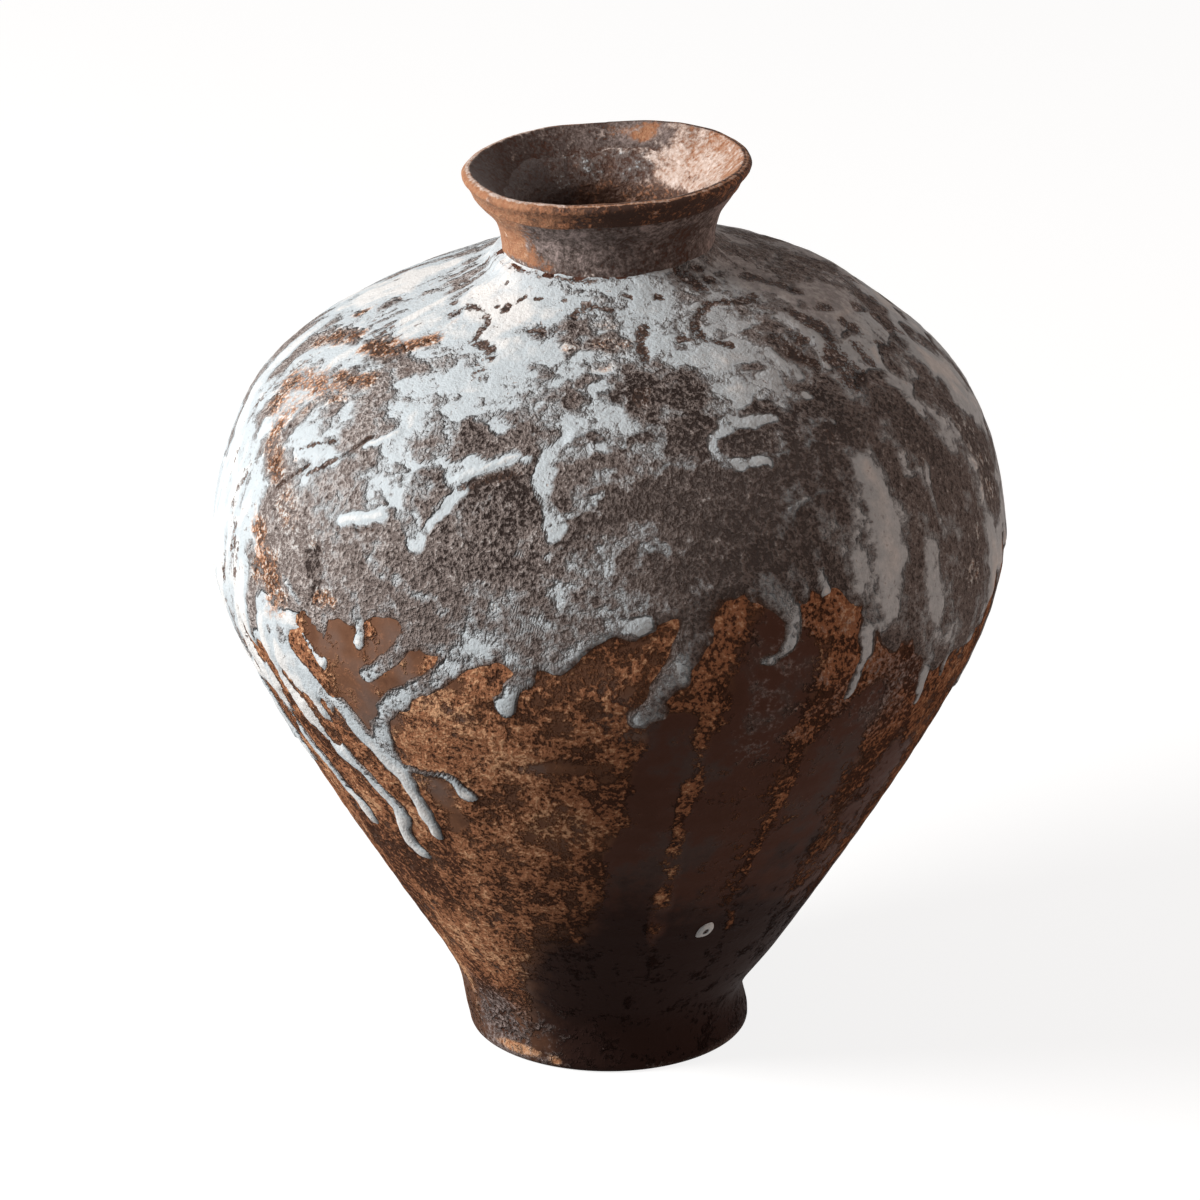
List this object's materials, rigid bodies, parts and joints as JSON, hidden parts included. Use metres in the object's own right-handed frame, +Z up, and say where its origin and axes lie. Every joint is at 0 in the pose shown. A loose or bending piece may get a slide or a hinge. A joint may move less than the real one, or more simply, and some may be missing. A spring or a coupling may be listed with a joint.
{
  "type": "ceramic vase",
  "caption": "Hand-thrown stoneware flower vase: narrow foot, flaring lower flank, broad round shoulder and short flared neck, with pale ash glaze over the shoulder running down the clay.",
  "frame": {"origin": "centre of the foot ring's resting face, at floor level", "axes": "+Z up along the wheel axis, -Y the front seen in the picture, +X to the right in it"},
  "size_m": [0.2579, 0.2584, 0.302],
  "materials": {
    "foot_clay": "dark vitrified stoneware, satin",
    "body_clay": "rough rust-brown stoneware with grog",
    "neck_clay": "grey-brown stoneware with a thin ash blush",
    "liner_glaze": "thin brown liner glaze, satin",
    "ash_glaze": "pale grey-blue ash glaze, broken and crawled, satin"
  },
  "bodies": {
    "root": {"foot_ring": "foot_clay", "lower_body": "body_clay", "upper_body": "body_clay", "neck_collar": "neck_clay", "liner_glaze": "liner_glaze", "shoulder_glaze": "ash_glaze", "glaze_run_left_thin": "ash_glaze", "glaze_run_left_long": "ash_glaze", "glaze_run_left_forked": "ash_glaze", "glaze_run_left_short": "ash_glaze", "glaze_run_left_bead": "ash_glaze", "glaze_run_front_bead": "ash_glaze", "glaze_run_front_broad": "ash_glaze", "glaze_run_right_stub": "ash_glaze", "glaze_run_right_long": "ash_glaze", "glaze_run_right_thin": "ash_glaze", "glaze_run_right_side": "ash_glaze", "glaze_run_back_right": "ash_glaze", "glaze_run_back_broad": "ash_glaze", "glaze_run_back_long": "ash_glaze", "glaze_run_back_left": "ash_glaze", "glaze_run_left_back": "ash_glaze", "glaze_run_left_side": "ash_glaze", "glaze_splash": "ash_glaze"}
  },
  "joints": []
}
